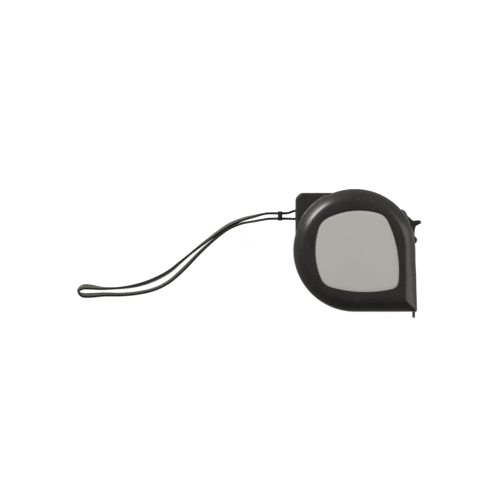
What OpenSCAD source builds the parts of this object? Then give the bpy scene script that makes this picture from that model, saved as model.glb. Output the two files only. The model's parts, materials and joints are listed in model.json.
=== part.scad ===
// Pocket tape measure with a wrist strap, lying on its side.
// X points out of the mouth, Y towards the top of the tool and Z through its thickness.
// The origin is on the reel's axis, at the level of the rear crest, which lies on Z = 0.
// Sizes are in millimetres and angles in degrees, counted from +X about +Z.

/* [Case] */
// Radius of the round side of the case, and half its height
body_r = 35; // [29:0.5:45]
// Wall round the reel
wall_t = 2.4; // [2.0:0.1:2.8]
// Floor of each cover, under its plate
floor_t = 2; // [1.6:0.1:3]
// Width of the sloping shoulder, seen from the side
shoulder_w = 6.5; // [5:0.5:7]
// Height of the sloping shoulder through the thickness
shoulder_h = 5; // [4:0.5:5.5]
// Radius of the shoulder's gentle crown
shoulder_crown = 22; // [8:1:30]

/* [Ear] */
// How far the ear stops short of the round side's radius, at the back
ear_back_inset = 1.2; // [0.6:0.2:2]
// The same along the top
ear_top_inset = 2.2; // [1.4:0.2:3]
// How far each face of the ear lies below the crest
ear_drop = 6; // [5.5:0.5:6.5]
// Radius of the ear's corner
ear_corner_r = 4.6; // [3:0.2:6]

/* [Plates] */
// Thickness of each plate
plate_t = 0.8; // [0.5:0.1:1.2]
// How far a plate's face lies below the crest
plate_drop = 1; // [0.6:0.1:1.5]
// Gap round a plate
plate_gap = 0.15; // [0.1:0.05:0.3]

/* [Blade] */
// Width of the blade
blade_w = 19; // [15:0.5:25]
// Thickness of the coated blade
blade_t = 0.25; // [0.2:0.05:0.35]
// Depth of the blade's hollow, across its width
blade_camber = 1.4; // [1:0.1:1.6]
// How far the blade can be drawn out
blade_travel = 40; // [10:1:40]
// Room between the wound blade and the wall
coil_room = 6.6; // [6.4:0.1:7.5]
// Gap between the wound blade and the run to the mouth
run_gap = 0.38; // [0.3:0.02:0.6]

/* [Reel] */
// Outer radius of the drum
drum_r = 16; // [14:0.5:18]
// Wall of the drum
drum_wall = 1.6; // [1.2:0.1:2]
// Thickness of the drum's end discs
disc_t = 1.2; // [0.8:0.1:1.6]
// How far the discs stand out past the drum
disc_lip = 2; // [1:0.5:3]
// Gap between the wound blade and each disc
disc_gap = 0.3; // [0.2:0.05:0.5]
// Gap between each disc and its washer
washer_gap = 0.3; // [0.2:0.05:0.5]
// Thickness of each friction washer
washer_t = 0.9; // [0.6:0.1:1.4]
// Outer radius of each friction washer
washer_r = 9; // [7:0.5:12]
// Radius of the axle post
axle_r = 4; // [3.2:0.1:4.8]
// Running clearance of the drum on the post
axle_fit = 0.05; // [0.02:0.01:0.1]
// Thickness of the power spring's steel
spring_t = 0.5; // [0.3:0.1:0.6]
// Turns in the power spring
spring_turns = 7; // [4:1:7]

/* [End hook] */
// Thickness of the hook's sheet
hook_t = 1.2; // [0.8:0.1:1.4]
// Width of the hook
hook_w = 17; // [12:0.5:17.5]
// How far the hook reaches below the base
hook_reach = 3.5; // [2:0.5:6]
// Free play of the hook on its rivets
hook_float = 1; // [0.8:0.1:1.4]
// Radius of the rivet shanks
rivet_r = 0.9; // [0.7:0.05:1.1]
// Radius of the rivet heads
rivet_head_r = 1.6; // [1.4:0.1:2]
// Gap behind the hook and between flat moving faces
hook_gap = 0.3; // [0.2:0.05:0.4]

/* [Lock] */
// Angle of the lock's middle, where its thumb fin stands
lock_mid = 23.5; // [20:0.5:26]
// Angle that the lock covers
lock_span = 34.5; // [30:0.5:36]
// Angle that the lock travels down to hold the blade
lock_travel = 8; // [5:0.5:8]
// Width of the lock, through the thickness
lock_w = 12; // [9:0.5:13]
// Width of the lock's stem, through the thickness
stem_w = 6; // [4:0.5:7.5]
// Depth of the track that the lock runs in
track_depth = 1; // [0.8:0.1:1.2]
// Gap all round the lock
lock_gap = 0.25; // [0.2:0.05:0.3]
// Height of the thumb fin above the round wall
fin_height = 6.2; // [4:0.2:8]

/* [Fasteners] */
// Radius of the screws
screw_r = 1.1; // [0.9:0.05:1.2]
// Radius of the screw heads
screw_head_r = 2.1; // [1.8:0.1:2.2]
// Length of the screws under the head
screw_len = 16; // [13.5:0.5:16.5]
// Radius of the bosses that take the screws
boss_r = 2.3; // [2:0.1:2.4]

/* [Wrist strap] */
// Width of the flat strap
strap_w = 4; // [3:0.2:5]
// Thickness of the flat strap
strap_t = 1.3; // [1:0.1:1.6]
// Radius of the pin that the strap goes round
pin_r = 1.6; // [1.3:0.1:1.8]
// Gap between the strap and what it goes round or through
strap_gap = 0.15; // [0.1:0.05:0.2]
// Length of the keeper along the strap
keeper_len = 2.6; // [2:0.2:5]
// Outer walls of the keeper
keeper_wall = 0.25; // [0.25:0.05:1]
// Gap between the keeper and the strap that it slides on
keeper_gap = 0.2; // [0.15:0.05:0.4]

/* [Hidden] */
$fn = 96;
eps = 0.01;
cut = 1;  // how far a cutting shape runs past the face it opens

// Levels through the thickness, from the parting plane at mid height
disc_in = blade_w / 2 + disc_gap;
disc_out = disc_in + disc_t;
cavity_h = disc_out + washer_gap + washer_t;
plate_floor_h = cavity_h + floor_t;
half_t = plate_floor_h + plate_t + plate_drop;
ear_h = half_t - ear_drop;
wall_h = half_t - shoulder_h;

// Shoulder: a shallow arc from the top of the outer wall to the crest
crest_r = body_r - shoulder_w;
shoulder_chord = sqrt(shoulder_w ^ 2 + shoulder_h ^ 2);
shoulder_sink = sqrt(shoulder_crown ^ 2 - (shoulder_chord / 2) ^ 2);
shoulder_c = [
    body_r - shoulder_w / 2 - shoulder_sink * shoulder_h / shoulder_chord,
    wall_h + shoulder_h / 2 - shoulder_sink * shoulder_w / shoulder_chord
];

// Cavity, with a slope that follows the shoulder at a wall's distance
inner_r = body_r - wall_t;
slope = shoulder_h / shoulder_w;
slope_drop = wall_t * shoulder_chord / shoulder_w;
slope_h = wall_h - slope_drop + wall_t * slope;
slope_r = inner_r - (cavity_h - slope_h) / slope;
axle_wall = 1.5;  // wall left round the hole through the post

// Reel and blade
coil_r = inner_r - coil_room;
camber_r = (blade_w / 2) ^ 2 / (2 * blade_camber) + blade_camber / 2;
blade_y = -(coil_r + run_gap + blade_camber + blade_t);  // lowest line of the hollow blade

// Mouth and end hook
mouth_above = 0.9;  // room over the blade's edges
mouth_below = 2.4;  // room under the blade for the hook's tab and the rivets
mouth_side = 0.3;
mouth_top = blade_y + blade_camber + blade_t + mouth_above;
mouth_floor = blade_y - mouth_below;
hook_inset = 0.7;  // how far the hook's face stays behind the front of the case
hook_x = body_r - hook_inset - hook_t;  // back face of the hook
notch_x = hook_x - 2 * hook_gap;
notch_side = 0.5;
tab_w = 8;
tab_len = 8.6;
tab_y = blade_y - hook_gap / 2;  // upper face of the tab
tab_t = 1;
rivet_x = [hook_x - 2.6, hook_x - 5.9];
rivet_head_t = 0.6;
toe_len = 4.6;
foot_x = hook_x - toe_len;  // inner end of the solid toe under the mouth
tail_room = 2.5;  // how far the straight run stops short of the toe when it is drawn out
blade_tail = foot_x - tail_room - blade_travel;  // inner end of the straight run
guide_len = 6;
bumper_deep = 1.8;
bumper_w = 12;
bumper_y = [mouth_floor - 3.8, mouth_floor - 0.8];

// Lock
lock_lo = lock_mid - lock_span / 2;
lock_hi = lock_mid + lock_span / 2;
track_r = body_r - track_depth;
slider_in = track_r + lock_gap;
stem_half = 6.5;  // half the angle of the stem
end_gap_deg = 1;  // gap at each end of the track and the slot
shoe_gap = 0.4;  // gap between the brake shoe and the inside of the wall
shoe_t = 3.6;
shoe_out = inner_r - shoe_gap;
shoe_in = shoe_out - shoe_t;
clip_deep = 1.2;  // how far the stem goes into the shoe
stem_in = shoe_out - clip_deep;
shoe_w = 10;
clip_fit = 0.05;  // gap round the stem in the shoe
tongue_half = 1.35;  // half the tongue's thickness
tongue_inset = 0.1;  // step from the shoe's outer face to the tongue's
tongue_tip_r = 1.3;
tongue_clear = 0.4;  // what stays between the tongue's tip and the blade with the lock down
tongue_mid_r = shoe_out - tongue_half - tongue_inset;
tongue_tip_y = -blade_y - blade_t - tongue_tip_r - tongue_clear;
tongue_reach = asin(tongue_tip_y / tongue_mid_r) - lock_travel;
grip_r = 1;       // grip bead at each end of the lock
grip_inset = 3.6;  // angle from the end of the lock to its bead
fin_tip_r = 0.95;

// Leaf spring of the lock
leaf_gap = 1.3;  // room between the coil and the leaf
leaf_r = coil_r + leaf_gap;
leaf_t = 0.4;
leaf_lo = 2;
leaf_hi = 46;
leaf_w = 6;
leaf_tail_w = 5.6;
leaf_lap = 0.4;  // angle by which the leaf stops inside its tail
peg_r = 0.9;
peg_fit = 0.05;  // gap between the leaf's tail and each peg
peg_out = 2.7;  // from the leaf's inner face to the middle of the pegs
peg_ring = leaf_r + peg_out;

// Screws: the ring's three and the toe's, and the one in the ear
ring_screw_r = inner_r - boss_r;
toe_screw = [hook_x - 15.1, blade_y - boss_r - 0.6];
ear_screw = [-body_r + ear_back_inset + 5.9, body_r - ear_top_inset - 5.9];
screw_room = 0.5;  // hole past the end of each screw
seat_depth = 4;  // level of the head's seat below the crest
head_t = 1.3;
ear_seat = 1.8;  // depth of the head's seat in the ear
screw_fit = 0.15;

// Strap pocket in the ear
pin = [-body_r + 3.8, body_r - 14.6];
pin_seat = 2.8;
turn_r = pin_r + strap_t / 2 + strap_gap;
pocket_side = 1.2;
pocket_half_h = strap_w / 2 + pocket_side;
pocket_room = 0.55;  // room between the strap and the pocket's walls
pocket_half_y = turn_r + strap_t / 2 + pocket_room;
pocket_back = pin[0] + turn_r + strap_t / 2 + strap_gap;

// Keeper on the two runs of the strap
keeper_out = 11.3;  // from the pin's axis to the middle of the keeper
keeper_x = pin[0] - keeper_out;
keeper_runs = [pin[1] + 0.74, pin[1] - 2.36];  // middle of the two runs that it rides on
keeper_side = 0.6;
keeper_w = strap_w + 2 * keeper_side + 2 * keeper_gap;

// Middle line of the strap: x and y from the pin's axis, and the height as a share of the fall
// from the pin's level, 1, to the surface that the strap stands on edge on, 0. The first and
// the last three points follow the turn round the pin.
strap_route = [
    [turn_r, 0.2, 1], [0.67 * turn_r, 0.75 * turn_r, 1], [-0.2, turn_r, 1], [-3.5, 2, 1],
    [-7.5, 0.8, 1],
    [-17, 0.7, 1], [-25, -0.7, 0.84], [-33, -2.7, 0.54], [-41, -6.2, 0.22], [-50, -12.3, 0.03],
    [-59, -19.2, 0], [-67, -25.8, 0], [-75, -32.4, 0], [-84, -37.2, 0], [-93, -40.1, 0],
    [-102, -41.6, 0], [-112, -42.1, 0], [-120, -41.4, 0], [-123.8, -41.3, 0],
    [-126.5, -42.8, 0], [-126.8, -44.6, 0], [-124.5, -45.9, 0], [-120, -46, 0],
    [-112, -45.7, 0], [-102, -45.7, 0], [-92, -44.7, 0], [-83, -42.5, 0], [-75, -38.4, 0],
    [-67, -31.4, 0], [-58, -22.2, 0], [-50, -14.8, 0.03], [-42, -8.7, 0.18], [-34, -5.2, 0.48],
    [-26, -3.8, 0.8], [-17, -2.4, 1], [-7.5, -2.4, 1], [-3.5, -2.5, 1],
    [-0.2, -turn_r, 1], [0.67 * turn_r, -0.75 * turn_r, 1], [turn_r, -0.2, 1]
];

// Outline of the plates: four corner circles [x, y, radius] and the radius of the side
// that leaves each one, going clockwise from the upper rear corner. It is drawn for one
// crest radius and follows the crest.
drawn_crest_r = 28.5;
outline_k = crest_r / drawn_crest_r;
outline_corners = [
    [-12.2, 10.2, 9.1, 40], [10.2, 11.8, 9.8, 67], [19.4, -16.9, 5.5, 71], [-11.3, -12.4, 9, 42.6]
];

corner_steps = 10;
side_steps = 12;

function polar(r, a) = r * [cos(a), sin(a)];
function heading(v) = atan2(v[1], v[0]);

// Middle of a circle of radius r that touches both corner circles from outside them
function side_centre(a, b, r) =
    let (p = [a[0], a[1]], q = [b[0], b[1]], d = norm(q - p), u = (q - p) / d)
    let (ra = r - a[2], rb = r - b[2], along = (ra ^ 2 - rb ^ 2 + d ^ 2) / (2 * d))
    p + along * u + sqrt(ra ^ 2 - along ^ 2) * [u[1], -u[0]];

// Points of one arc of the outline, clockwise from heading h0, moved in by a gap
function outline_arc(c, r, h0, turn, steps, gap) = [
    for (k = [0:steps]) let (u = polar(1, h0 - turn * k / steps)) outline_k * (c + r * u) - gap * u
];

// Points of the whole outline moved in by a gap: each corner, then the side that leaves it
function outline(gap) = [
    for (i = [0:3])
        let (a = outline_corners[i], b = outline_corners[(i + 1) % 4])
        let (before = outline_corners[(i + 3) % 4], mid = [a[0], a[1]], far = [b[0], b[1]])
        let (last = side_centre(before, a, before[3]), next = side_centre(a, b, a[3]))
        let (h0 = heading(mid - last), h1 = heading(mid - next), h2 = heading(far - next))
        let (side = outline_arc(next, a[3], h1, (h1 - h2 + 360) % 360, side_steps, gap))
        each concat(
            outline_arc(mid, a[2], h0, (h0 - h1 + 360) % 360, corner_steps, gap),
            [for (k = [1:side_steps - 1]) side[k]]
        )
];

// Catmull-Rom point on the span from b to c
function spline(a, b, c, d, t) = 0.5 * (
    2 * b + (c - a) * t + (2 * a - 5 * b + 4 * c - d) * t ^ 2 + (3 * b - 3 * c + d - a) * t ^ 3
);

// Shape swept round the case: round for three quarters and mitred at the front lower corner
module case_sweep(reach) {
    rotate_extrude(angle = 270) children();
    intersection() {
        rotate([90, 0, 0]) linear_extrude(reach) children();
        rotate([0, 0, -90]) rotate([90, 0, 0]) translate([0, 0, -reach])
            linear_extrude(reach) children();
    }
}

// Half section of the case above the parting plane
module case_profile() {
    polygon([[0, 0], [body_r, 0], [body_r, wall_h], [crest_r, half_t], [0, half_t]]);
    intersection() {
        translate(shoulder_c) circle(shoulder_crown);
        translate([crest_r, wall_h]) square([shoulder_w, shoulder_h]);
    }
}

module cavity_profile() {
    polygon([[0, -cut], [inner_r, -cut], [inner_r, slope_h], [slope_r, cavity_h], [0, cavity_h]]);
}

// Part of a ring between two radii, two angles and two levels
module ring_sector(r0, r1, a0, a1, z0, z1) {
    rotate([0, 0, a0]) rotate_extrude(angle = a1 - a0) translate([r0, z0])
        square([r1 - r0, z1 - z0]);
}

// Block between two opposite corners
module block(lo, hi) {
    translate(lo) cube(hi - lo);
}

module ear_outline() {
    w = body_r - ear_back_inset;
    h = body_r - ear_top_inset;
    translate([-w, 0]) square([w, h - ear_corner_r]);
    translate([-w + ear_corner_r, 0]) square([w - ear_corner_r, h]);
    translate([-w + ear_corner_r, h - ear_corner_r]) circle(ear_corner_r);
}

module at_ring_screws() {
    for (a = [62, 225]) translate(polar(ring_screw_r, a)) children();
    translate(toe_screw) children();
}

// Half of the case above the parting plane, with all that both halves share
module half_cover() {
    difference() {
        union() {
            difference() {
                union() {
                    case_sweep(body_r) case_profile();
                    linear_extrude(ear_h) ear_outline();
                }
                case_sweep(inner_r) cavity_profile();
            }
            at_ring_screws() cylinder(r = boss_r, h = cavity_h);
            block([foot_x, -inner_r - eps, 0], [inner_r + eps, mouth_floor, cavity_h]);
        }
        // plate recess and the end socket of the axle post
        translate([0, 0, plate_floor_h]) linear_extrude(plate_t + plate_drop + cut)
            polygon(outline(0));
        translate([0, 0, cavity_h - cut]) cylinder(r = axle_r - axle_wall, h = floor_t / 2 + cut);
        // mouth, the notch that the end hook lies in, and the bumper's seat
        block([foot_x - cut, mouth_floor, -cut],
            [body_r + cut, mouth_top, blade_w / 2 + mouth_side]);
        block([notch_x, -body_r - cut, -cut],
            [body_r + cut, mouth_top, hook_w / 2 + notch_side]);
        block([notch_x - bumper_deep + hook_gap, bumper_y[0], -cut],
            [notch_x + cut, bumper_y[1], bumper_w / 2]);
        // track and slot of the lock
        ring_sector(track_r, body_r + 3, lock_lo - lock_travel - end_gap_deg,
            lock_hi + end_gap_deg, -cut, lock_w / 2 + lock_gap);
        ring_sector(inner_r - cut, body_r, lock_mid - stem_half - lock_travel - end_gap_deg,
            lock_mid + stem_half + end_gap_deg, -cut, stem_w / 2 + lock_gap);
        // strap pocket and the seat of its pin
        block([-body_r - cut, pin[1] - pocket_half_y, -cut],
            [pocket_back, pin[1] + pocket_half_y, pocket_half_h]);
        translate([pin[0], pin[1], -cut]) cylinder(r = pin_r, h = pocket_half_h + pin_seat + cut);
    }
}

module front_cover() {
    color("#2e2d2a") translate([0, 0, half_t]) difference() {
        half_cover();
        at_ring_screws() translate([0, 0, -cut])
            cylinder(r = screw_r, h = screw_len + seat_depth - half_t + cut + screw_room);
        translate([ear_screw[0], ear_screw[1], -cut])
            cylinder(r = screw_r, h = screw_len + ear_seat - ear_h + cut + screw_room);
    }
}

module rear_cover() {
    color("#2b2a27") translate([0, 0, half_t]) mirror([0, 0, 1]) difference() {
        union() {
            half_cover();
            for (side = [peg_fit, -leaf_t - peg_fit] + peg_r * [1, -1])
                translate(polar(peg_ring, leaf_hi) + side * polar(1, leaf_hi + 90))
                    translate([0, 0, -leaf_w / 2]) cylinder(r = peg_r, h = leaf_w / 2 + cavity_h);
        }
        at_ring_screws() {
            translate([0, 0, -cut]) cylinder(r = screw_r + screw_fit, h = half_t);
            translate([0, 0, half_t - seat_depth]) cylinder(r = screw_head_r + screw_fit,
                h = seat_depth + cut);
        }
        translate(ear_screw) {
            translate([0, 0, -cut]) cylinder(r = screw_r + screw_fit, h = half_t);
            translate([0, 0, ear_h - ear_seat]) cylinder(r = screw_head_r + screw_fit,
                h = ear_seat + cut);
        }
    }
}

module label_plate() {
    translate([0, 0, plate_floor_h]) linear_extrude(plate_t) polygon(outline(plate_gap));
}

module front_plate() {
    color("#ababa7") translate([0, 0, half_t]) label_plate();
}

module rear_plate() {
    color("#a6a6a2") translate([0, 0, half_t]) mirror([0, 0, 1]) label_plate();
}

// Screw with its head's seat at the origin, pointing up
module screw() {
    difference() {
        union() {
            cylinder(r = screw_r, h = screw_len);
            translate([0, 0, -head_t]) cylinder(r = screw_head_r, h = head_t);
        }
        for (a = [0, 90]) rotate([0, 0, a]) block([-1.2, -0.25, -head_t - cut],
            [1.2, 0.25, -head_t / 2]);
    }
}

module case_screws() {
    color("#8c8c88") {
        at_ring_screws() translate([0, 0, seat_depth]) screw();
        translate([ear_screw[0], ear_screw[1], ear_drop + ear_seat]) screw();
    }
}

// Hard lip that the blade slides over, just inside the mouth
module mouth_guide() {
    lip_r = 1;
    hw = blade_w / 2 + mouth_side;
    color("#55544f") translate([0, 0, half_t]) {
        block([foot_x - guide_len + lip_r, -inner_r, -hw], [foot_x, mouth_floor, hw]);
        block([foot_x - guide_len, -inner_r, -hw], [foot_x, mouth_floor - lip_r, hw]);
        translate([foot_x - guide_len + lip_r, mouth_floor - lip_r, -hw])
            cylinder(r = lip_r, h = 2 * hw);
    }
}

module hook_bumper() {
    color("#1c1c1b") translate([0, 0, half_t]) block(
        [notch_x - bumper_deep + hook_gap, bumper_y[0], -bumper_w / 2],
        [notch_x + hook_gap, bumper_y[1], bumper_w / 2]);
}

module axle_post() {
    slot_w = spring_t + 0.3;
    color("#c8c6be") translate([0, 0, half_t]) difference() {
        union() {
            translate([0, 0, -cavity_h]) cylinder(r = axle_r, h = 2 * cavity_h);
            translate([0, 0, -cavity_h - floor_t / 2])
                cylinder(r = axle_r - axle_wall, h = 2 * cavity_h + floor_t);
        }
        block([1, -slot_w / 2, -disc_in], [axle_r + cut, slot_w / 2, disc_in]);
    }
}

module washer() {
    difference() {
        cylinder(r = washer_r, h = washer_t);
        translate([0, 0, -cut]) cylinder(r = axle_r + axle_fit, h = washer_t + 2 * cut);
    }
}

module front_washer() {
    color("#e6e4da") translate([0, 0, half_t + cavity_h - washer_t]) washer();
}

module rear_washer() {
    color("#e6e4da") translate([0, 0, half_t - cavity_h]) washer();
}

// Flat spiral of spring steel whose inner end is folded into the post's slot
module power_spring() {
    steps = 24;
    first_r = axle_r + 0.6;
    last_r = drum_r - drum_wall - 0.5 - spring_t;
    pitch = (last_r - first_r) / spring_turns;
    spiral = [for (k = [0:steps * spring_turns]) [first_r + pitch * k / steps, 360 * k / steps]];
    last = len(spiral) - 1;
    inner = [for (k = [1:last]) polar(spiral[k][0], spiral[k][1])];
    outer = [for (k = [last:-1:0]) polar(spiral[k][0] + spring_t, spiral[k][1])];
    tongue = [
        [first_r + spring_t, -spring_t / 2], [1.4, -spring_t / 2], [1.4, spring_t / 2],
        [first_r - 0.1, spring_t / 2]
    ];
    color("#5d6066") translate([0, 0, half_t - disc_in + 0.8]) linear_extrude(2 * disc_in - 3)
        polygon(concat(inner, outer, tongue));
}

module reel_drum() {
    color("#d8d5c8") translate([0, 0, half_t]) difference() {
        union() {
            translate([0, 0, -disc_out]) cylinder(r = drum_r + disc_lip, h = disc_t);
            translate([0, 0, -disc_in]) cylinder(r = drum_r, h = 2 * disc_in);
        }
        translate([0, 0, -disc_in]) cylinder(r = drum_r - drum_wall, h = 2 * disc_in + cut);
        translate([0, 0, -disc_out - cut]) cylinder(r = axle_r + axle_fit, h = disc_t + 2 * cut);
    }
}

// Lid that closes the drum over the power spring
module drum_cap() {
    spigot_h = 1.5;
    color("#cfccbf") translate([0, 0, half_t + disc_in]) difference() {
        union() {
            cylinder(r = drum_r + disc_lip, h = disc_t);
            translate([0, 0, -spigot_h]) cylinder(r = drum_r - drum_wall, h = spigot_h);
        }
        translate([0, 0, -spigot_h - cut])
            cylinder(r = drum_r - 2 * drum_wall, h = spigot_h + cut);
        translate([0, 0, -cut]) cylinder(r = axle_r + axle_fit, h = disc_t + 2 * cut);
    }
}

// The wound length of the blade, as one ring
module blade_coil() {
    color("#d9bf3c") translate([0, 0, half_t - blade_w / 2]) difference() {
        cylinder(r = coil_r, h = blade_w);
        translate([0, 0, -cut]) cylinder(r = drum_r, h = blade_w + 2 * cut);
    }
}

// The straight, hollow length of blade that runs to the hook
module blade_run() {
    color("#e3c63a") translate([blade_tail, 0, half_t]) difference() {
        rotate([90, 0, 90]) linear_extrude(hook_x - hook_gap / 2 - blade_tail) intersection() {
            translate([blade_y + blade_t + camber_r, 0]) difference() {
                circle(camber_r + blade_t);
                circle(camber_r);
            }
            translate([blade_y - cut, -blade_w / 2]) square([blade_camber + 2 * cut, blade_w]);
        }
        for (x = rivet_x) translate([x - blade_tail, blade_y + blade_camber + cut, 0])
            rotate([90, 0, 0]) cylinder(r = rivet_r, h = blade_camber + 3 * cut);
    }
}

module hook_rivets() {
    low = tab_y - tab_t - hook_gap / 2;
    color("#8f8e86") for (x = rivet_x) translate([x, 0, half_t]) rotate([-90, 0, 0]) {
        translate([0, 0, low]) cylinder(r = rivet_r, h = blade_y + blade_t - low);
        translate([0, 0, low - rivet_head_t]) cylinder(r = rivet_head_r, h = rivet_head_t);
        translate([0, 0, blade_y + blade_t]) cylinder(r = rivet_head_r, h = rivet_head_t);
    }
}

// Bent sheet hook, slotted so that it floats by its own thickness on the rivets
module end_hook() {
    slot_r = rivet_r + 0.1;
    tip_r = 2.5;
    color("#6a695f") translate([0, 0, half_t]) {
        difference() {
            block([hook_x - tab_len, tab_y - tab_t, -tab_w / 2], [hook_x + eps, tab_y, tab_w / 2]);
            for (x = rivet_x) translate([x, tab_y + cut, 0]) rotate([90, 0, 0]) {
                cylinder(r = slot_r, h = tab_t + 2 * cut);
                translate([-hook_float, 0, 0]) cylinder(r = slot_r, h = tab_t + 2 * cut);
                translate([-hook_float, -slot_r, 0]) cube([hook_float, 2 * slot_r, tab_t + 2 * cut]);
            }
        }
        // plate with two rounded lower corners
        translate([hook_x, 0, 0]) rotate([90, 0, 90]) linear_extrude(hook_t) {
            bottom = -body_r - hook_reach;
            translate([bottom + tip_r, -hook_w / 2])
                square([tab_y - bottom - tip_r, hook_w]);
            translate([bottom, -hook_w / 2 + tip_r]) square([tip_r + eps, hook_w - 2 * tip_r]);
            for (s = [-1, 1]) translate([bottom + tip_r, s * (hook_w / 2 - tip_r)]) circle(tip_r);
        }
    }
}

// Thumb slider: a curved pad in the track, with grip beads at its ends, a hump and a fin
module lock_slider() {
    // height above the round wall and angle from the fin of each corner of the hump
    hump = [
        [0.4, 10], [2.1, 3], [fin_height - 1.6, 1.1], [fin_height - 1.6, -1.2], [2.3, -2.2],
        [0.25, -9.7], [-track_depth, -9.7], [-track_depth, 10]
    ];
    color("#1d1d1c") translate([0, 0, half_t]) {
        translate([0, 0, -lock_w / 2]) linear_extrude(lock_w) {
            difference() {
                intersection() {
                    circle(body_r + 0.15);
                    polygon([[0, 0], polar(2 * body_r, lock_lo), polar(2 * body_r, lock_hi)]);
                }
                circle(slider_in);
            }
            difference() {
                union() {
                    for (a = [lock_lo, lock_hi] + grip_inset * [1, -1])
                        translate(polar(body_r - 0.15, a)) circle(grip_r);
                    polygon([for (p = hump) polar(body_r + p[0], lock_mid + p[1])]);
                    translate(polar(body_r + fin_height - fin_tip_r, lock_mid))
                        circle(fin_tip_r);
                }
                circle(slider_in);
            }
        }
        ring_sector(stem_in, body_r - 0.2, lock_mid - stem_half, lock_mid + stem_half,
            -stem_w / 2, stem_w / 2);
    }
}

// Brake shoe clipped on the slider's stem, with a tongue that comes down on the blade
module lock_shoe() {
    clip_half = stem_half + 2;
    color("#b9432f") translate([0, 0, half_t]) {
        difference() {
            ring_sector(shoe_in, shoe_out, lock_mid - clip_half, lock_mid + clip_half,
                -shoe_w / 2, shoe_w / 2);
            ring_sector(stem_in - clip_fit, shoe_out + cut, lock_mid - stem_half - 2 * clip_fit,
                lock_mid + stem_half + 2 * clip_fit, -stem_w / 2 - clip_fit, stem_w / 2 + clip_fit);
        }
        ring_sector(tongue_mid_r - tongue_half, tongue_mid_r + tongue_half, -tongue_reach,
            lock_mid - stem_half - 0.5, -stem_w / 2, stem_w / 2);
        translate(polar(tongue_mid_r, -tongue_reach)) translate([0, 0, -stem_w / 2])
            cylinder(r = tongue_tip_r, h = stem_w);
    }
}

// Leaf that presses the shoe outwards, held between two pegs of the rear cover
module lock_spring() {
    color("#9a9b9d") translate([0, 0, half_t]) {
        ring_sector(leaf_r, leaf_r + leaf_t, leaf_lo, leaf_hi - leaf_lap, -leaf_w / 2, leaf_w / 2);
        rotate([0, 0, leaf_hi]) block([leaf_r + leaf_t / 2, -leaf_t, -leaf_tail_w / 2],
            [peg_ring + peg_r, 0, leaf_tail_w / 2]);
    }
}

module strap_pin() {
    reach = pocket_half_h + pin_seat;
    color("#77766f") translate([pin[0], pin[1], half_t - reach])
        cylinder(r = pin_r, h = 2 * reach);
}

// Flat strap standing on its edge, swept along its middle line with eight sides
module wrist_strap() {
    per_span = 2;
    n = len(strap_route);
    low = strap_w / 2 + 0.1;
    pts = [for (p = strap_route) [pin[0] + p[0], pin[1] + p[1], low + (half_t - low) * p[2]]];
    line = [
        for (i = [0:n - 2]) for (k = [0:per_span - 1])
            spline(pts[max(i - 1, 0)], pts[i], pts[i + 1], pts[min(i + 2, n - 1)], k / per_span),
        pts[n - 1]
    ];
    m = len(line);
    bevel = strap_t / 4;
    ht = strap_t / 2;
    hw = strap_w / 2;
    section = [
        [ht - bevel, -hw], [ht, -hw + bevel], [ht, hw - bevel], [ht - bevel, hw],
        [bevel - ht, hw], [-ht, hw - bevel], [-ht, bevel - hw], [bevel - ht, -hw]
    ];
    rings = [
        for (i = [0:m - 1])
            let (d = line[min(i + 1, m - 1)] - line[max(i - 1, 0)], flat = norm([d[0], d[1]]))
            let (side = [-d[1], d[0], 0] / flat)
            for (s = section) line[i] + s[0] * side + [0, 0, s[1]]
    ];
    quads = [for (i = [0:m - 2]) for (j = [0:7])
        [8 * i + j, 8 * (i + 1) + j, 8 * (i + 1) + (j + 1) % 8, 8 * i + (j + 1) % 8]];
    ends = [[for (j = [0:7]) j], [for (j = [7:-1:0]) 8 * (m - 1) + j]];
    color("#3a3934") polyhedron(rings, concat(quads, ends));
}

// Small slide that gathers both runs of the strap
module strap_keeper() {
    half_slot = strap_t / 2 + keeper_gap;
    top = keeper_runs[0] + half_slot + keeper_wall;
    bottom = keeper_runs[1] - half_slot - keeper_wall;
    color("#262523") translate([keeper_x, 0, half_t]) difference() {
        block([-keeper_len / 2, bottom, -keeper_w / 2], [keeper_len / 2, top, keeper_w / 2]);
        for (y = keeper_runs) block([-keeper_len, y - half_slot, -strap_w / 2 - keeper_gap],
            [keeper_len, y + half_slot, strap_w / 2 + keeper_gap]);
    }
}

front_cover();
rear_cover();
front_plate();
rear_plate();
case_screws();
mouth_guide();
hook_bumper();
axle_post();
front_washer();
rear_washer();
power_spring();
reel_drum();
drum_cap();
blade_coil();
blade_run();
hook_rivets();
end_hook();
lock_slider();
lock_shoe();
lock_spring();
strap_pin();
wrist_strap();
strap_keeper();
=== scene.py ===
import json
import math

import bmesh
import bpy
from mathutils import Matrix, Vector


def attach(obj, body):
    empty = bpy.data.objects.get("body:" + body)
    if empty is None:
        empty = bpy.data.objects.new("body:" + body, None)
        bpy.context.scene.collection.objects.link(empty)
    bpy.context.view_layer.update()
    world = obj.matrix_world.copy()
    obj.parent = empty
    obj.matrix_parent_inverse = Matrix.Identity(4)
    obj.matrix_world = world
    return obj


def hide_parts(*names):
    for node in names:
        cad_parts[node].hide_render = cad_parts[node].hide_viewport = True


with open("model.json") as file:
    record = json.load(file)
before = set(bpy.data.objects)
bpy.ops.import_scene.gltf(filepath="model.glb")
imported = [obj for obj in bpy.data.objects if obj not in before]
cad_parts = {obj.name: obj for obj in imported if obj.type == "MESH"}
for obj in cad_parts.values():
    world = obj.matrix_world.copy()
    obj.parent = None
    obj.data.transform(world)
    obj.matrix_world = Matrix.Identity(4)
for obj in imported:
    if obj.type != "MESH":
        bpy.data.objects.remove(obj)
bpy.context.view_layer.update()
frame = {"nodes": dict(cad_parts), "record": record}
MM = 0.001

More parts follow.
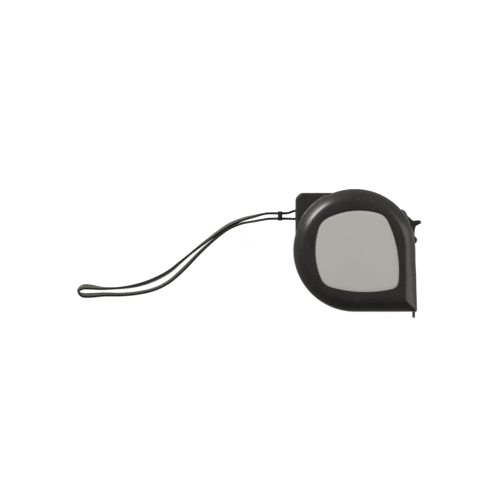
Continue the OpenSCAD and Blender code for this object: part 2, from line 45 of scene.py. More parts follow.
# ---------------------------------------------------------------- sizes, in mm, as in the CAD
# Heights are from the parting plane, which is at half the case's thickness
BODY_R, CREST_R, INNER_R = 35.0, 28.5, 32.6
WALL_H, HALF_T, CAVITY_H = 11.0, 16.0, 12.2
SHOULDER_W, SHOULDER_H, CROWN_R = BODY_R - CREST_R, HALF_T - WALL_H, 22.0
RECESS_H = 14.2
EAR_H, EAR_X, EAR_Y, EAR_CORNER = 10.0, 33.8, 32.8, 4.6
CUT = 1.0  # how far a cutting shape runs past the face it opens

BLADE_W, HOOK_W = 19.0, 17.0
MOUTH_TOP, MOUTH_FLOOR, MOUTH_SIDE = -25.48, -30.43, 0.3
MOUTH_X, NOTCH_X, NOTCH_SIDE = 27.5, 32.5, 0.5
TOE_X = (28.5, 33.2)  # solid stretch of the front wall under the mouth
BUMPER_X, BUMPER_Y, BUMPER_W = (31.0, 33.5), (-34.23, -31.23), 12.0

# Angles of the lock are about the reel's axis, in degrees
LOCK_MID, LOCK_SPAN, LOCK_TRAVEL, END_GAP = 23.5, 34.5, 8.0, 1.0
LOCK_HALF_W, LOCK_BASE_R, TRACK_R, LOCK_GAP = 6.0, 34.25, 34.0, 0.25
STEM_R, STEM_HALF, STEM_HALF_W = 31.0, 6.5, 3.0

# Screws: x, y and the height of the head's seat
SCREW_RING_R, SCREW_BORE_R, RING_SEAT, EAR_SEAT = 30.3, 2.25, 12.0, 8.2
RING_SCREWS, TOE_SCREW, EAR_SCREW = (62, 225), (18.0, -30.93), (-27.9, 26.9)

PIN = (-31.2, 20.4)
POCKET_HALF_Y, POCKET_HALF_H, POCKET_BACK = 3.65, 3.2, -28.15

# Looks only: the plates' faces and the strap are a little fuller than in the CAD
PLATE_H, PLATE_GAP = 15.55, 0.15
STRAP_W, STRAP_T = 4.0, 1.38


def polar(r, a):
    a = math.radians(a)
    return (r * math.cos(a), r * math.sin(a))


# ---------------------------------------------------------------- mesh helpers
def new_object(name, verts, faces, body, sharp=32.0):
    mesh = bpy.data.meshes.new(name)
    mesh.from_pydata([(x * MM, y * MM, z * MM) for x, y, z in verts], [], faces)
    mesh.validate()
    obj = bpy.data.objects.new(name, mesh)
    bpy.context.collection.objects.link(obj)
    tidy_mesh(obj, sharp)
    if body:
        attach(obj, body)
    return obj


def tidy_mesh(obj, sharp=32.0):
    bm = bmesh.new()
    bm.from_mesh(obj.data)
    bmesh.ops.remove_doubles(bm, verts=bm.verts, dist=1e-7)
    bmesh.ops.recalc_face_normals(bm, faces=bm.faces)
    bm.to_mesh(obj.data)
    bm.free()
    obj.data.shade_smooth()
    obj.data.set_sharp_from_angle(angle=math.radians(sharp))


def loft(rings, closed=True, cap_first=False, cap_last=False):
    """Vertices and faces through rings of equal length."""
    verts = [p for ring in rings for p in ring]
    n = len(rings[0])
    faces = []
    spans = n if closed else n - 1
    for k in range(len(rings) - 1):
        for i in range(spans):
            j = (i + 1) % n
            faces.append((k * n + i, k * n + j, (k + 1) * n + j, (k + 1) * n + i))
    if cap_first:
        faces.append(tuple(range(n - 1, -1, -1)))
    if cap_last:
        faces.append(tuple((len(rings) - 1) * n + i for i in range(n)))
    return verts, faces


def prism(name, outline, z0, z1):
    rings = [[(x, y, z) for x, y in outline] for z in (z0, z1)]
    verts, faces = loft(rings, cap_first=True, cap_last=True)
    return new_object(name, verts, faces, None)


def box_outline(x0, y0, x1, y1):
    return [(x0, y0), (x1, y0), (x1, y1), (x0, y1)]


def sector_outline(r0, r1, a0, a1, steps=24):
    grid = [a0 + (a1 - a0) * k / steps for k in range(steps + 1)]
    return [polar(r0, a) for a in grid] + [polar(r1, a) for a in reversed(grid)]


def circle_outline(x, y, r, steps=40):
    return [(x + polar(r, 360 * k / steps)[0], y + polar(r, 360 * k / steps)[1])
            for k in range(steps)]


def apply_modifiers(obj):
    graph = bpy.context.evaluated_depsgraph_get()
    mesh = bpy.data.meshes.new_from_object(obj.evaluated_get(graph))
    obj.modifiers.clear()
    obj.data = mesh


def combine(obj, others, operation):
    """Exact boolean of obj with each of the others, which are then removed."""
    for other in others:
        m = obj.modifiers.new("cut", "BOOLEAN")
        m.operation = operation
        m.solver = "EXACT"
        m.object = other
    apply_modifiers(obj)
    for other in others:
        bpy.data.objects.remove(other)


def bevel(obj, width, segments=2, angle=40.0):
    m = obj.modifiers.new("bevel", "BEVEL")
    m.width = width * MM
    m.segments = segments
    m.limit_method = "ANGLE"
    m.angle_limit = math.radians(angle)
    m.miter_outer = "MITER_ARC"
    apply_modifiers(obj)


def refine(node, body, width, segments=3, angle=35.0):
    """A copy of a CAD part with its flat faces merged and its edges rounded, shown in its place."""
    source = frame["nodes"][node]
    mesh = source.data.copy()
    obj = bpy.data.objects.new(node + "_look", mesh)
    bpy.context.collection.objects.link(obj)
    bm = bmesh.new()
    bm.from_mesh(mesh)
    bmesh.ops.remove_doubles(bm, verts=bm.verts, dist=2e-6)
    bmesh.ops.dissolve_limit(bm, angle_limit=math.radians(1.0), verts=bm.verts, edges=bm.edges)
    bm.to_mesh(mesh)
    bm.free()
    mesh.materials.clear()
    bevel(obj, width, segments, angle)
    tidy_mesh(obj, 28.0)
    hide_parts(node)
    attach(obj, body)
    return obj


# ---------------------------------------------------------------- materials
def nodes_of(mat):
    mat.use_nodes = True
    tree = mat.node_tree
    return tree, tree.nodes["Principled BSDF"]


def add(tree, kind, **values):
    node = tree.nodes.new(kind)
    for key, value in values.items():
        if key in node.inputs:
            node.inputs[key].default_value = value
        else:
            setattr(node, key, value)
    return node


def noise(tree, coords, scale, detail=4.0, stretch=(1, 1, 1)):
    mapping = add(tree, "ShaderNodeMapping")
    mapping.inputs["Scale"].default_value = stretch
    tree.links.new(coords, mapping.inputs["Vector"])
    tex = add(tree, "ShaderNodeTexNoise", Scale=scale, Detail=detail, Roughness=0.55)
    tree.links.new(mapping.outputs["Vector"], tex.inputs["Vector"])
    return tex.outputs["Fac"]


def spread(tree, fac, low, high):
    node = add(tree, "ShaderNodeMapRange")
    node.inputs["From Min"].default_value = 0.3
    node.inputs["From Max"].default_value = 0.7
    node.inputs["To Min"].default_value = low
    node.inputs["To Max"].default_value = high
    tree.links.new(fac, node.inputs["Value"])
    return node.outputs["Result"]


def two_tone(tree, fac, a, b):
    ramp = add(tree, "ShaderNodeValToRGB")
    ramp.color_ramp.elements[0].position = 0.3
    ramp.color_ramp.elements[0].color = (*a, 1)
    ramp.color_ramp.elements[1].position = 0.7
    ramp.color_ramp.elements[1].color = (*b, 1)
    tree.links.new(fac, ramp.inputs["Fac"])
    return ramp.outputs["Color"]


def shade(color, k):
    return tuple(c * k for c in color)


def finish(name, color, rough, vary=0.12, grain=2500.0, bump=0.05, metal=0.0, specular=0.5,
           stretch=(1, 1, 1), rough_vary=0.06, blotch=90.0, wear=None, coat=0.0):
    """Colour in soft blotches, roughness and height in fine grain, and paler scuffs."""
    mat = bpy.data.materials.new(name)
    tree, bsdf = nodes_of(mat)
    coords = add(tree, "ShaderNodeTexCoord").outputs["Object"]
    soft = noise(tree, coords, blotch, 5.0, stretch)
    fine = noise(tree, coords, grain, 3.0, stretch)
    tone = two_tone(tree, soft, shade(color, 1 - vary), shade(color, 1 + vary))
    if wear:
        scuff = add(tree, "ShaderNodeMapRange")
        scuff.inputs["From Min"].default_value = 0.6
        scuff.inputs["From Max"].default_value = 0.75
        scuff.inputs["To Max"].default_value = 0.4
        marks = noise(tree, coords, 420.0, 6.0, (1, 0.3, 1))
        tree.links.new(marks, scuff.inputs["Value"])
        mix = add(tree, "ShaderNodeMix", data_type="RGBA")
        tree.links.new(scuff.outputs["Result"], mix.inputs["Factor"])
        tree.links.new(tone, mix.inputs[6])
        mix.inputs[7].default_value = (*wear, 1)
        tone = mix.outputs[2]
    tree.links.new(tone, bsdf.inputs["Base Color"])
    tree.links.new(spread(tree, fine, rough - rough_vary, rough + rough_vary),
                   bsdf.inputs["Roughness"])
    height = add(tree, "ShaderNodeBump", Strength=bump, Distance=0.0001)
    tree.links.new(fine, height.inputs["Height"])
    tree.links.new(height.outputs["Normal"], bsdf.inputs["Normal"])
    bsdf.inputs["Metallic"].default_value = metal
    bsdf.inputs["Specular IOR Level"].default_value = specular
    bsdf.inputs["Coat Weight"].default_value = coat
    return mat


def woven(name, color, light):
    """Flat woven band: ribs along it and picks across it, over slow changes of colour."""
    mat = bpy.data.materials.new(name)
    tree, bsdf = nodes_of(mat)
    uv = add(tree, "ShaderNodeUVMap").outputs["UV"]
    coords = add(tree, "ShaderNodeTexCoord").outputs["Object"]
    rib = add(tree, "ShaderNodeTexWave", Scale=0.55, Distortion=0.4)
    rib.bands_direction = "X"
    pick = add(tree, "ShaderNodeTexWave", Scale=0.5, Distortion=0.3)
    pick.bands_direction = "Y"
    tree.links.new(uv, rib.inputs["Vector"])
    tree.links.new(uv, pick.inputs["Vector"])
    weave = add(tree, "ShaderNodeMath", operation="MULTIPLY")
    tree.links.new(rib.outputs["Fac"], weave.inputs[0])
    tree.links.new(pick.outputs["Fac"], weave.inputs[1])
    soft = noise(tree, coords, 160.0, 5.0)
    tone = two_tone(tree, soft, color, light)
    dark = add(tree, "ShaderNodeMix", data_type="RGBA", blend_type="MULTIPLY")
    dark.inputs[0].default_value = 0.35
    tree.links.new(tone, dark.inputs[6])
    tree.links.new(weave.outputs["Value"], dark.inputs[7])
    tree.links.new(dark.outputs[2], bsdf.inputs["Base Color"])
    tree.links.new(spread(tree, soft, 0.6, 0.8), bsdf.inputs["Roughness"])
    height = add(tree, "ShaderNodeBump", Strength=0.5, Distance=0.00015)
    tree.links.new(weave.outputs["Value"], height.inputs["Height"])
    tree.links.new(height.outputs["Normal"], bsdf.inputs["Normal"])
    bsdf.inputs["Specular IOR Level"].default_value = 0.35
    bsdf.inputs["Sheen Weight"].default_value = 0.15
    bsdf.inputs["Sheen Roughness"].default_value = 0.4
    return mat


looks = {
    "case_plastic": finish("case_plastic", (0.0275, 0.0266, 0.024), 0.28, bump=0.1, grain=1800.0,
                           specular=0.26, wear=(0.07, 0.067, 0.061), rough_vary=0.03),
    "plate_grey": finish("plate_grey", (0.445, 0.438, 0.417), 0.62, vary=0.018, grain=5200.0,
                         bump=0.06, blotch=40.0, specular=0.25),
    "screw_steel": finish("screw_steel", (0.5, 0.5, 0.49), 0.34, metal=1.0, grain=3000.0),
    "guide_plastic": finish("guide_plastic", (0.1, 0.1, 0.095), 0.35),
    "bumper_rubber": finish("bumper_rubber", (0.018, 0.018, 0.018), 0.75, bump=0.2),
    "reel_plastic": finish("reel_plastic", (0.68, 0.66, 0.58), 0.42, vary=0.05),
    "spring_steel": finish("spring_steel", (0.28, 0.29, 0.31), 0.3, metal=1.0,
                           stretch=(1, 1, 0.08)),
    "blade_paint": finish("blade_paint", (0.76, 0.55, 0.05), 0.33, vary=0.05, coat=0.3),
    "hook_steel": finish("hook_steel", (0.12, 0.119, 0.096), 0.46, metal=0.8, vary=0.15,
                         wear=(0.45, 0.44, 0.4)),
    "lock_plastic": finish("lock_plastic", (0.014, 0.0138, 0.013), 0.4, bump=0.12,
                           wear=(0.04, 0.039, 0.036)),
    "shoe_plastic": finish("shoe_plastic", (0.45, 0.06, 0.03), 0.4),
    # The band is one dark stuff shown in two colours: its wide faces lighter, as painted light, and its
    # edges a darker copy, as painted shade.
    "strap_fabric": woven("strap_fabric", (0.045, 0.044, 0.036), (0.085, 0.083, 0.068)),
    "strap_edge_painted_shade": finish("strap_edge_painted_shade", (0.014, 0.0136, 0.0115), 0.62, vary=0.25, bump=0.3,
                         grain=2600.0, specular=0.3),
}


def dress(obj, slot):
    obj.data.materials.clear()
    obj.data.materials.append(looks[slot])
    return obj


for entry in frame["record"]["subparts"]:
    node = frame["nodes"][entry["node"]]
    node.data.materials.clear()
    node.data.materials.append(looks[entry["material_slot"]])

# ---------------------------------------------------------------- outline of the plates
CORNERS = [
    (-12.2, 10.2, 9.1, 40), (10.2, 11.8, 9.8, 67), (19.4, -16.9, 5.5, 71), (-11.3, -12.4, 9, 42.6),
]


def side_centre(a, b, r):
    p, q = Vector(a[:2]), Vector(b[:2])
    d = (q - p).length
    u = (q - p) / d
    ra, rb = r - a[2], r - b[2]
    along = (ra ** 2 - rb ** 2 + d ** 2) / (2 * d)
    return p + along * u + math.sqrt(ra ** 2 - along ** 2) * Vector((u.y, -u.x))


def heading(v):
    return math.degrees(math.atan2(v[1], v[0]))


def outline_arc(c, r, h0, turn, steps, gap):
    made = []
    for k in range(steps + 1):
        x, y = polar(r - gap, h0 - turn * k / steps)
        made.append((c[0] + x, c[1] + y))
    return made


def plate_outline(gap):
    points = []
    for i in range(4):
        before, a, b = CORNERS[i - 1], CORNERS[i], CORNERS[(i + 1) % 4]
        last, after = side_centre(before, a, before[3]), side_centre(a, b, a[3])
        h0 = heading(Vector(a[:2]) - last)
        h1 = heading(Vector(a[:2]) - after)
        h2 = heading(Vector(b[:2]) - after)
        points += outline_arc(a[:2], a[2], h0, (h0 - h1) % 360, 14, gap)
        points += outline_arc(after, a[3], h1, (h1 - h2) % 360, 22, gap)[1:-1]
    return points


RECESS = plate_outline(0)


def recess_at(direction):
    """Distance from the reel's axis to the plate's outline in a direction."""
    dx, dy = direction
    for i, p in enumerate(RECESS):
        q = RECESS[(i + 1) % len(RECESS)]
        ex, ey = q[0] - p[0], q[1] - p[1]
        det = ex * dy - ey * dx
        if abs(det) < 1e-12:
            continue
        t = (ex * p[1] - ey * p[0]) / det
        s = (dx * p[1] - dy * p[0]) / det
        if t > 0 and -1e-9 <= s <= 1 + 1e-9:
            return t
    raise ValueError("the outline doesn't go round the axis")


# ---------------------------------------------------------------- covers
def sweep_directions():
    """Unit path of the case: round for three quarters and square at the front lower corner."""
    made = [polar(1, a) for a in range(0, 271, 2)]
    soft = 0.022
    made += [((1 - soft) * k / 12, -1.0) for k in range(1, 13)]
    made += [(1 - soft + soft * math.sin(math.radians(a)), -1 + soft - soft * math.cos(math.radians(a)))
             for a in (30, 60, 90)]
    made += [(1.0, -(1 - soft) * k / 12) for k in range(11, 0, -1)]
    return made


def bezier(a, b, c, steps):
    return [tuple((1 - t) ** 2 * p + 2 * t * (1 - t) * q + t * t * r for p, q, r in zip(a, b, c))
            for t in (k / steps for k in range(steps + 1))]


def shoulder_profile():
    """Radius and height from the parting plane to the crest, with soft edges."""
    steps, foot, top = 20, 2, 14
    edge, foot_run, crest_run = 0.12, 0.7, 2.4
    chord = math.hypot(SHOULDER_W, SHOULDER_H)
    sink = math.sqrt(CROWN_R ** 2 - (chord / 2) ** 2)
    cx = BODY_R - SHOULDER_W / 2 - sink * SHOULDER_H / chord
    cy = WALL_H + SHOULDER_H / 2 - sink * SHOULDER_W / chord
    a0 = heading((BODY_R - cx, WALL_H - cy))
    a1 = heading((CREST_R - cx, HALF_T - cy))
    crown = [(cx + polar(CROWN_R, a)[0], cy + polar(CROWN_R, a)[1])
             for a in (a0 + (a1 - a0) * k / steps for k in range(steps + 1))]
    wall = [(BODY_R - edge, 0), (BODY_R, edge), (BODY_R, 4), (BODY_R, 8)]
    lower = bezier((BODY_R, WALL_H - foot_run), (BODY_R, WALL_H), crown[foot], 5)
    run = (HALF_T - crown[top][1]) / (crown[top + 1][1] - crown[top - 1][1])
    meet = crown[top][0] + run * (crown[top + 1][0] - crown[top - 1][0])
    upper = bezier(crown[top], (meet, HALF_T), (meet - crest_run, HALF_T), 8)
    return wall + lower + crown[foot + 1:top] + upper


def cover_shell(name):
    """One cover as a closed shell: shoulder, crest, recess of the plate and cavity."""
    directions = sweep_directions()
    rings = [[(r * u[0], r * u[1], h) for u in directions] for r, h in shoulder_profile()]
    reach = []
    for u in directions:
        size = math.hypot(*u)
        unit = (u[0] / size, u[1] / size)
        reach.append((unit, recess_at(unit)))
    for out, h in ((0.36, HALF_T), (0.18, HALF_T - 0.05), (0.05, HALF_T - 0.18),
                   (0, HALF_T - 0.36), (0, RECESS_H)):
        rings.append([((d + out) * u[0], (d + out) * u[1], h) for u, d in reach])
    rings.append([(0, 0, RECESS_H)] * len(directions))
    rings.append([(0, 0, CAVITY_H)] * len(directions))
    slope = SHOULDER_H / SHOULDER_W
    drop = (BODY_R - INNER_R) * math.hypot(SHOULDER_W, SHOULDER_H) / SHOULDER_W
    slope_h = WALL_H - drop + (BODY_R - INNER_R) * slope
    slope_r = INNER_R - (CAVITY_H - slope_h) / slope
    for r, h in ((slope_r, CAVITY_H), (INNER_R, slope_h), (INNER_R, 0)):
        rings.append([(r * u[0], r * u[1], h) for u in directions])
    verts, faces = loft(rings + [rings[0]])
    return new_object(name, verts, faces, None)


def ear_solid(name):
    """The square ear beside the round body, with a round edge on its face."""
    rings = []
    for inset, h in ((0.12, 0), (0, 0.12), (0, 8.6), (0.05, 8.98), (0.19, 9.34), (0.41, 9.63),
                     (0.7, 9.85), (1.04, 9.97), (1.4, EAR_H)):
        x, y, r = -EAR_X + inset, EAR_Y - inset, EAR_CORNER - inset
        cx, cy = -EAR_X + EAR_CORNER, EAR_Y - EAR_CORNER
        outer = [(x, 4 + (cy - 4) * k / 8) for k in range(9)]
        outer += [(cx - r * math.cos(math.radians(a)), cy + r * math.sin(math.radians(a)))
                  for a in range(9, 90, 9)]
        outer += [(cx + (-6 - cx) * k / 8, y) for k in range(9)]
        inner = [polar(33.2, a) for a in [100.4 + 72.7 * k / 24 for k in range(25)]]
        rings.append([(px, py, h) for px, py in outer + inner])
    verts, faces = loft(rings, cap_first=True, cap_last=True)
    return new_object(name, verts, faces, None)


def ear_fillet():
    """Hollow fillet where the ear's face runs into the foot of the shoulder."""
    profile = [(33.6, 9.6), (36.4, 9.6)] + bezier((36.4, EAR_H), (35.1, EAR_H), (34.9, 11.15), 7)
    profile.append((33.6, 11.15))
    rings = []
    for a in range(97, 178, 2):
        rings.append([(*polar(r, a), h) for r, h in profile])
    verts, faces = loft(rings, cap_first=True, cap_last=True)
    obj = new_object("fillet", verts, faces, None)
    x, y, r = -EAR_X + 1.2, EAR_Y - 1.2, EAR_CORNER - 1.2
    outline = [(0, 0), (x, 0)]
    outline += [(x + r - r * math.cos(math.radians(a)), y - r + r * math.sin(math.radians(a)))
                for a in range(0, 91, 10)]
    combine(obj, [prism("edge", outline + [(0, y)], 9.0, 12.0)], "INTERSECT")
    return obj


# Places along the front edge, and how far it stands in or out of the flat there
FRONT_EDGE = [
    (30, 0), (22, -0.1), (14, -0.35), (6, -0.6), (-4, -0.5), (-18, 0), (-33, 0.35), (-36, 0.38),
]
FRONT_X = 30.0  # nothing moves behind this


def front_shift(x, y):
    """The front edge isn't quite straight, so points near it move a little along X."""
    if x < FRONT_X:
        return 0.0
    for (y0, d0), (y1, d1) in zip(FRONT_EDGE, FRONT_EDGE[1:]):
        if y1 <= y <= y0:
            t = (y0 - y) / (y0 - y1)
            t = t * t * (3 - 2 * t)
            return (d0 + (d1 - d0) * t) * min(1.0, (x - FRONT_X) / 4)
    return 0.0


def cutters(rear):
    """What is cut from a cover: the lock's track, the mouth, the strap's pocket, the screws' seats."""
    out = BODY_R + CUT
    low = LOCK_MID - LOCK_TRAVEL - END_GAP
    track = sector_outline(TRACK_R, out + 2, low - LOCK_SPAN / 2, LOCK_MID + LOCK_SPAN / 2 + END_GAP, 40)
    slot = sector_outline(STEM_R, out - 0.5, low - STEM_HALF, LOCK_MID + STEM_HALF + END_GAP)
    mouth = box_outline(MOUTH_X, MOUTH_FLOOR, out, MOUTH_TOP)
    notch = box_outline(NOTCH_X, -out - 0.5, out, MOUTH_TOP - 0.12)
    seat = box_outline(BUMPER_X[0], BUMPER_Y[0], BUMPER_X[1], BUMPER_Y[1])
    pocket = box_outline(-out, PIN[1] - POCKET_HALF_Y, POCKET_BACK, PIN[1] + POCKET_HALF_Y)
    made = [
        prism("track", track, -CUT, LOCK_HALF_W + LOCK_GAP),
        prism("slot", slot, -CUT, STEM_HALF_W + LOCK_GAP),
        prism("mouth", mouth, -CUT, BLADE_W / 2 + MOUTH_SIDE),
        prism("notch", notch, -CUT, HOOK_W / 2 + NOTCH_SIDE),
        prism("seat", seat, -CUT, BUMPER_W / 2),
        prism("pocket", pocket, -CUT, POCKET_HALF_H),
    ]
    if rear:
        spots = [(*polar(SCREW_RING_R, a), RING_SEAT) for a in RING_SCREWS]
        spots += [(*TOE_SCREW, RING_SEAT), (*EAR_SCREW, EAR_SEAT)]
        for x, y, height in spots:
            made.append(prism("bore", circle_outline(x, y, SCREW_BORE_R), height, HALF_T + CUT))
    return made


def cover(name, node, rear):
    obj = cover_shell(name)
    toe = prism("toe", box_outline(TOE_X[0], -TOE_X[1], TOE_X[1], MOUTH_FLOOR), 0, CAVITY_H + 0.4)
    combine(obj, [ear_solid("ear"), toe, ear_fillet()], "UNION")
    combine(obj, cutters(rear), "DIFFERENCE")
    for v in obj.data.vertices:
        v.co.x += front_shift(v.co.x / MM, v.co.y / MM) * MM
        v.co.z = (HALF_T * MM - v.co.z) if rear else (HALF_T * MM + v.co.z)
    tidy_mesh(obj)
    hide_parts(node)
    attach(obj, "case")
    return dress(obj, "case_plastic")


cover("front_cover_look", "front_cover", False)
cover("rear_cover_look", "rear_cover", True)


# ---------------------------------------------------------------- plates
def plate(name, node, rear):
    sign = -1 if rear else 1
    rings = []
    for gap, h in ((PLATE_GAP, RECESS_H), (PLATE_GAP, PLATE_H - 0.12), (0.17, PLATE_H - 0.06),
                   (0.22, PLATE_H - 0.02), (0.3, PLATE_H), (2.5, PLATE_H), (5.0, PLATE_H)):
        rings.append([(x, y, HALF_T + sign * h) for x, y in plate_outline(gap)])
    verts, faces = loft(rings, cap_first=True, cap_last=True)
    obj = new_object(name, verts, faces, "case")
    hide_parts(node)
    return dress(obj, "plate_grey")


plate("front_plate_look", "front_plate", False)
plate("rear_plate_look", "rear_plate", True)

# ---------------------------------------------------------------- lock
LOCK_SHAPE = [
    (26.1, 23.2), (26.9, 23.35), (28.1, 22.85), (29.1, 21.9), (29.75, 20.8), (30.1, 19.9),
    (30.9, 19.1), (31.8, 18.3), (32.7, 17.5), (33.5, 17.0), (34.3, 17.05), (35.3, 17.2),
    (36.4, 17.2), (37.3, 17.05), (37.85, 16.6), (38.0, 16.0), (37.85, 15.4), (37.3, 14.95),
    (36.3, 14.6), (35.5, 14.1), (34.95, 13.5), (34.65, 12.8), (34.45, 11.4), (34.25, 9.8),
    (34.2, 8.7), (34.7, 7.75), (35.35, 7.1), (35.7, 6.2), (35.6, 5.2), (35.2, 4.4), (34.7, 3.85),
]


def catmull(p0, p1, p2, p3, t):
    return tuple(0.5 * (2 * b + (c - a) * t + (2 * a - 5 * b + 4 * c - d) * t * t
                        + (3 * b - 3 * c + d - a) * t ** 3)
                 for a, b, c, d in zip(p0, p1, p2, p3))


def smooth_line(points, per_span):
    n = len(points)
    made = []
    for i in range(n - 1):
        for k in range(per_span):
            made.append(catmull(points[max(i - 1, 0)], points[i], points[i + 1],
                                points[min(i + 2, n - 1)], k / per_span))
    made.append(tuple(points[-1]))
    return made


def lock_slider():
    """The thumb slider: its outline drawn across the lock's width, rounder at the ends, and its stem."""
    outer = smooth_line(LOCK_SHAPE, 3)
    base = [polar(LOCK_BASE_R, LOCK_MID - LOCK_SPAN / 2 + LOCK_SPAN * k / 30) for k in range(31)]
    rings = []
    half = LOCK_HALF_W
    soft, fall = 1.2, 0.9
    ends = [half, half - 0.08, half - 0.3, half - 0.7, half - soft, 2.0]
    for z in [-e for e in ends] + ends[::-1]:
        edge = max(0.0, (abs(z) - (half - soft)) / soft)
        drop = fall * (1 - math.sqrt(max(0.0, 1 - edge * edge)))
        ring = []
        for x, y in outer:
            r = math.hypot(x, y)
            low = max(LOCK_BASE_R + 0.02, r - drop)
            ring.append((x * low / r, y * low / r, HALF_T + z))
        rings.append(ring + [(x + front_shift(x, y), y, HALF_T + z) for x, y in base])
    verts, faces = loft(rings, cap_first=True, cap_last=True)
    obj = new_object("lock_slider_look", verts, faces, None)
    stem_outline = sector_outline(STEM_R, 34.6, LOCK_MID - STEM_HALF, LOCK_MID + STEM_HALF)
    stem = prism("stem", stem_outline, HALF_T - STEM_HALF_W, HALF_T + STEM_HALF_W)
    combine(obj, [stem], "UNION")
    tidy_mesh(obj, 38.0)
    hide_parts("lock_slider")
    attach(obj, "lock")
    return dress(obj, "lock_plastic")


lock_slider()

# ---------------------------------------------------------------- small parts
dress(refine("end_hook", "hook", 0.25), "hook_steel")
dress(refine("case_screws", "case", 0.12), "screw_steel")
dress(refine("mouth_guide", "case", 0.2), "guide_plastic")
dress(refine("hook_bumper", "case", 0.3), "bumper_rubber")
keeper = dress(refine("strap_keeper", "keeper", 0.12), "lock_plastic")

# ---------------------------------------------------------------- wrist strap
# x and y from the pin's axis, height as a share of the fall, and how far the band leans
ROUTE = [
    (2.4, 0.2, 1, 0), (1.6, 1.8, 1, 0), (-0.2, 2.4, 1, 0), (-3.5, 2, 1, 0), (-7.5, 0.8, 1, 0),
    (-17, 0.7, 1, 0), (-20.5, 0.35, 0.97, 0), (-25, -0.7, 0.84, 8), (-33, -2.8, 0.54, 18),
    (-41, -6.3, 0.22, 22),
    (-50, -12.5, 0.03, 15), (-59, -19.4, 0, 5), (-67, -26, 0, -5), (-75, -32.6, 0, -16),
    (-84, -37.4, 0, -19), (-93, -40.4, 0, -15), (-102, -41.9, 0, -4), (-112, -42.3, 0, 8),
    (-120, -41.5, 0, 34), (-123.8, -41.4, 0, 36), (-126.5, -42.8, 0, 18), (-126.8, -44.6, 0, 0),
    (-124.4, -46.2, 0, -24), (-120, -46.3, 0, -28), (-112, -45.8, 0, -20), (-102, -45.8, 0, -16),
    (-92, -44.8, 0, -15), (-83, -42.6, 0, -15), (-75, -38.5, 0, -16), (-67, -31.6, 0, -18),
    (-58, -22.4, 0, -12), (-50, -15, 0.03, -7), (-42, -8.9, 0.18, -4), (-34, -5.3, 0.48, -2),
    (-26, -3.8, 0.8, 0), (-21, -2.9, 0.97, 0), (-17, -2.4, 1, 0), (-7.5, -2.36, 1, 0),
    (-3.5, -2.5, 1, 0),
    (-0.2, -2.4, 1, 0), (1.6, -1.8, 1, 0), (2.4, -0.2, 1, 0),
]


def band_section(width, thick, r=0.42, steps=4):
    """Rounded rectangle: across the thickness, then across the width."""
    points = []
    for sx, sy, start in ((1, 1, 0), (-1, 1, 90), (-1, -1, 180), (1, -1, 270)):
        cx, cy = sx * (thick / 2 - r), sy * (width / 2 - r)
        for k in range(steps + 1):
            x, y = polar(r, start + 90 * k / steps)
            points.append((cx + x, cy + y))
    return points


def strap_rings(section):
    """The band's sections along its route, and how far along it each one is."""
    low = STRAP_W / 2 + 0.1
    knots = [(PIN[0] + x, PIN[1] + y, low + (HALF_T - low) * h, a) for x, y, h, a in ROUTE]
    line = smooth_line(knots, 7)
    rings, reached = [], [0.0]
    for i, (x, y, z, lean) in enumerate(line):
        before, after = line[max(i - 1, 0)], line[min(i + 1, len(line) - 1)]
        tx, ty = after[0] - before[0], after[1] - before[1]
        flat = math.hypot(tx, ty)
        side = Vector((-ty / flat, tx / flat, 0))
        up = Vector((0, 0, 1))
        a = math.radians(lean)
        wide = math.cos(a) * up + math.sin(a) * side
        thin = math.cos(a) * side - math.sin(a) * up
        rest = STRAP_W / 2 * (1 - math.cos(a)) - STRAP_T / 2 * abs(math.sin(a))
        centre = Vector((x, y, z - max(rest, 0)))
        rings.append([tuple(centre + s * thin + w * wide) for s, w in section])
        if i:
            reached.append(reached[-1] + (centre - last).length)
        last = centre
    return rings, reached


def dress_band(obj, section, reached):
    """Fabric on the wide faces, painted light, and a darker copy on the edges, painted shade, with a map
    in mm along and round the band.
    """
    n = len(section)
    if len(obj.data.vertices) != len(reached) * n:
        raise ValueError("the strap has points in the same place")
    round_it = [0.0]
    for k in range(1, n + 1):
        round_it.append(round_it[-1] + math.dist(section[k % n], section[k - 1]))
    obj.data.materials.append(looks["strap_fabric"])
    obj.data.materials.append(looks["strap_edge_painted_shade"])
    layer = obj.data.uv_layers.new(name="band")
    for poly in obj.data.polygons:
        marks = [(loop, *divmod(obj.data.loops[loop].vertex_index, n)) for loop in poly.loop_indices]
        across = {j for _, _, j in marks}
        # Wide faces take the lighter fabric, painted light; the edges take the darker copy, painted
        # shade.
        poly.material_index = 0 if across in ({n - 1, 0}, {n // 2 - 1, n // 2}) else 1
        for loop, i, j in marks:
            last_side = across == {0, n - 1} and j == 0
            layer.data[loop].uv = (reached[i], round_it[n] if last_side else round_it[j])


def wrist_strap():
    section = band_section(STRAP_W, STRAP_T)
    rings, reached = strap_rings(section)
    verts, faces = loft(rings, cap_first=True, cap_last=True)
    obj = new_object("wrist_strap_look", verts, faces, "case", sharp=60.0)
    dress_band(obj, section, reached)
    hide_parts("wrist_strap")
    return obj


wrist_strap()

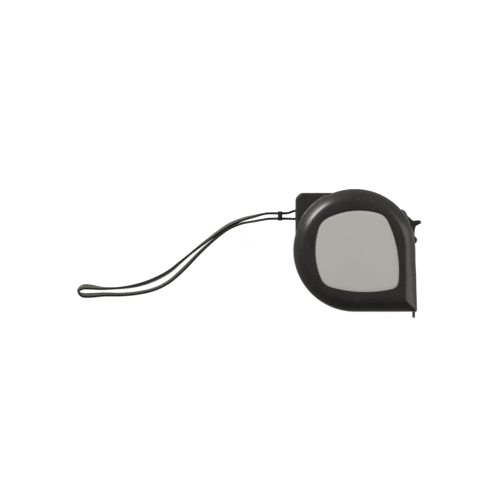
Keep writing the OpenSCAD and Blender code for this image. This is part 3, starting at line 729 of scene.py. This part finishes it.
# ---------------------------------------------------------------- floor, lights and camera
FLOOR_HALF = 3
sheet = bpy.data.meshes.new("floor")
sheet.from_pydata([(*p, 0) for p in box_outline(-FLOOR_HALF, -FLOOR_HALF, FLOOR_HALF, FLOOR_HALF)],
                  [], [(0, 1, 2, 3)])
floor = bpy.data.objects.new("floor", sheet)
bpy.context.collection.objects.link(floor)
ground = bpy.data.materials.new("ground")
tree, bsdf = nodes_of(ground)
bsdf.inputs["Base Color"].default_value = (0.3, 0.3, 0.3, 1)
bsdf.inputs["Roughness"].default_value = 1.0
bsdf.inputs["Specular IOR Level"].default_value = 0.0
bsdf.inputs["Emission Color"].default_value = (1, 1, 1, 1)
bsdf.inputs["Emission Strength"].default_value = 0.95
floor.data.materials.append(ground)


def area(name, place, target, size, power, color=(1, 1, 1)):
    """A soft rectangular light, size metres wide and high, turned from its place to the target."""
    light = bpy.data.lights.new(name, "AREA")
    light.shape = "RECTANGLE"
    light.size, light.size_y = size
    light.energy = power
    light.color = color
    obj = bpy.data.objects.new(name, light)
    bpy.context.collection.objects.link(obj)
    obj.location = place
    aim = Vector(target) - Vector(place)
    obj.rotation_euler = aim.to_track_quat("-Z", "Y").to_euler()


area("key", (-0.82, 0.84, 0.57), (0, 0, 0), (0.55, 0.2), 21)
area("right", (1.0, 0.05, 0.56), (0, 0.05, 0.03), (0.95, 0.86), 9.4, (1, 0.975, 0.93))
area("upper right", (0.87, 0.5, 0.66), (0, 0, 0), (0.6, 0.4), 1.3)

world = bpy.data.worlds.new("world")
bpy.context.scene.world = world
world.use_nodes = True
world.node_tree.nodes["Background"].inputs["Color"].default_value = (1, 1, 1, 1)
world.node_tree.nodes["Background"].inputs["Strength"].default_value = 0.08

SENSOR, DISTANCE, VIEW_WIDTH = 36, 2.4, 0.2855  # the view is as wide as this at the mid height
lens = bpy.data.cameras.new("camera")
lens.sensor_width = SENSOR
lens.lens = SENSOR * DISTANCE / VIEW_WIDTH
lens.clip_end = 20
camera = bpy.data.objects.new("camera", lens)
bpy.context.collection.objects.link(camera)
camera.location = (-0.05967, 0.00017, DISTANCE + HALF_T * MM)
bpy.context.scene.camera = camera
bpy.context.scene.view_settings.view_transform = "Standard"

bpy.context.view_layer.update()
